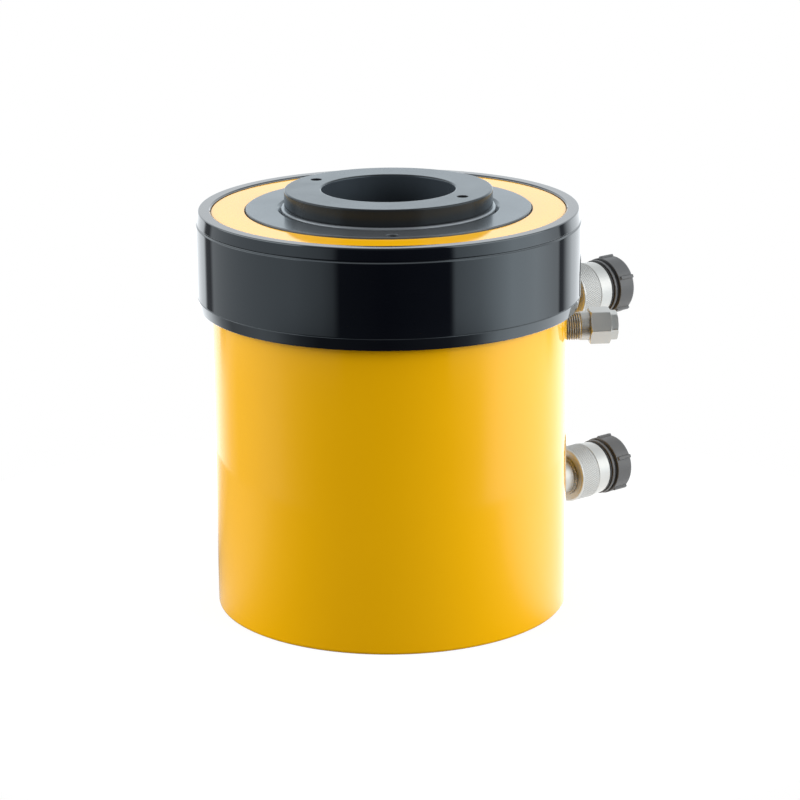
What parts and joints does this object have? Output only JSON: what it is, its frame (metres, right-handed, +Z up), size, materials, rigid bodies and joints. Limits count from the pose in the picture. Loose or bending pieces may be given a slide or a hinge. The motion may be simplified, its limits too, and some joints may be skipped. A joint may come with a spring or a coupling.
{
  "type": "hollow plunger cylinder",
  "caption": "Double-acting hydraulic cylinder with a hollow plunger and through hole, collar ring, screw-in saddle, capped quick couplers and a relief valve.",
  "frame": {"origin": "centre of the base face, on the axis of the centre hole", "axes": "+Z up along the centre hole, towards the saddle; the relief valve leaves near +X and both couplers leave at 42 degrees from +X towards +Y"},
  "size_m": [0.2639, 0.2524, 0.254],
  "materials": {
    "yellow_paint": "glossy enamel",
    "black_oxide": "black oxide, satin, turned",
    "black_ring": "glossy blue-black",
    "tube_steel": "dark phosphated steel",
    "chrome_steel": "hard chrome, ground",
    "zinc_plate": "zinc plated, satin",
    "spring_steel": "bright spring steel",
    "black_plastic": "moulded, fine grain",
    "black_rubber": "matte",
    "guide_resin": "fabric-filled resin, satin"
  },
  "bodies": {
    "barrel": {"cylinder_body": "yellow_paint", "centre_tube": "tube_steel", "tube_o_ring": "black_rubber", "tube_backup_ring": "guide_resin", "gland_nut": "black_oxide", "rod_wiper": "black_rubber", "rod_seal": "black_rubber", "rod_backup_ring": "guide_resin", "gland_guide_bands": "guide_resin", "gland_o_ring": "black_rubber", "gland_backup_ring": "guide_resin", "upper_port_nipple": "zinc_plate", "upper_coupler_body": "zinc_plate", "upper_collar_snap_ring": "spring_steel", "upper_check_spring": "spring_steel", "lower_port_nipple": "zinc_plate", "lower_coupler_body": "zinc_plate", "lower_collar_snap_ring": "spring_steel", "lower_check_spring": "spring_steel", "relief_valve_body": "zinc_plate", "relief_spring": "spring_steel", "relief_adjuster": "zinc_plate"},
    "plunger": {"plunger": "chrome_steel", "piston_seal": "black_rubber", "piston_guide_band": "guide_resin", "tube_seal": "black_rubber", "tube_guide_band": "guide_resin"},
    "saddle": {"saddle": "black_oxide"},
    "collar_ring": {"collar_ring": "black_ring"},
    "upper_collar": {"upper_coupler_collar": "zinc_plate"},
    "upper_gasket": {"upper_cap_gasket": "black_rubber"},
    "upper_cap": {"upper_dust_cap": "black_plastic"},
    "upper_ball": {"upper_check_ball": "chrome_steel"},
    "lower_collar": {"lower_coupler_collar": "zinc_plate"},
    "lower_gasket": {"lower_cap_gasket": "black_rubber"},
    "lower_cap": {"lower_dust_cap": "black_plastic"},
    "lower_ball": {"lower_check_ball": "chrome_steel"},
    "relief_poppet": {"relief_poppet": "chrome_steel"}
  },
  "joints": [
    {"name": "plunger_extend", "type": "slide", "parent": "barrel", "child": "plunger", "axis": [0, 0, 1], "range_m": [0, 0.076]},
    {"name": "saddle_unscrew", "type": "slide", "parent": "plunger", "child": "saddle", "axis": [0, 0, 1], "range_m": [0, 0.025]},
    {"name": "ring_unscrew", "type": "slide", "parent": "barrel", "child": "collar_ring", "axis": [0, 0, 1], "range_m": [0, 0.07]},
    {"name": "upper_collar_spin", "type": "hinge", "parent": "barrel", "child": "upper_collar", "pos_m": [0.12522, 0.11275, 0.166], "axis": [0.7431, 0.6691, 0], "continuous": true},
    {"name": "upper_cap_draw", "type": "slide", "parent": "upper_collar", "child": "upper_gasket", "axis": [0.7431, 0.6691, 0], "range_m": [0, 0.025]},
    {"name": "upper_cap_turn", "type": "hinge", "parent": "upper_gasket", "child": "upper_cap", "pos_m": [0.12522, 0.11275, 0.166], "axis": [0.7431, 0.6691, 0], "range_deg": [0, 4500]},
    {"name": "upper_check_open", "type": "slide", "parent": "barrel", "child": "upper_ball", "axis": [-0.7431, -0.6691, 0], "range_m": [0, 0.003], "stiffness_N_per_m": 800, "springref_m": -0.004, "deforming": ["upper_check_spring"]},
    {"name": "lower_collar_spin", "type": "hinge", "parent": "barrel", "child": "lower_collar", "pos_m": [0.12522, 0.11275, 0.047], "axis": [0.7431, 0.6691, 0], "continuous": true},
    {"name": "lower_cap_draw", "type": "slide", "parent": "lower_collar", "child": "lower_gasket", "axis": [0.7431, 0.6691, 0], "range_m": [0, 0.025]},
    {"name": "lower_cap_turn", "type": "hinge", "parent": "lower_gasket", "child": "lower_cap", "pos_m": [0.12522, 0.11275, 0.047], "axis": [0.7431, 0.6691, 0], "range_deg": [0, 4500]},
    {"name": "lower_check_open", "type": "slide", "parent": "barrel", "child": "lower_ball", "axis": [-0.7431, -0.6691, 0], "range_m": [0, 0.003], "stiffness_N_per_m": 800, "springref_m": -0.004, "deforming": ["lower_check_spring"]},
    {"name": "relief_lift", "type": "slide", "parent": "barrel", "child": "relief_poppet", "axis": [0.9903, 0.1392, 0], "range_m": [0, 0.0015], "stiffness_N_per_m": 2000, "springref_m": -0.005, "deforming": ["relief_spring"]}
  ],
  "couplings": [
    {"joint": "upper_cap_draw", "follows": "upper_cap_turn", "m_per_rad": 0.00031831},
    {"joint": "lower_cap_draw", "follows": "lower_cap_turn", "m_per_rad": 0.00031831}
  ]
}
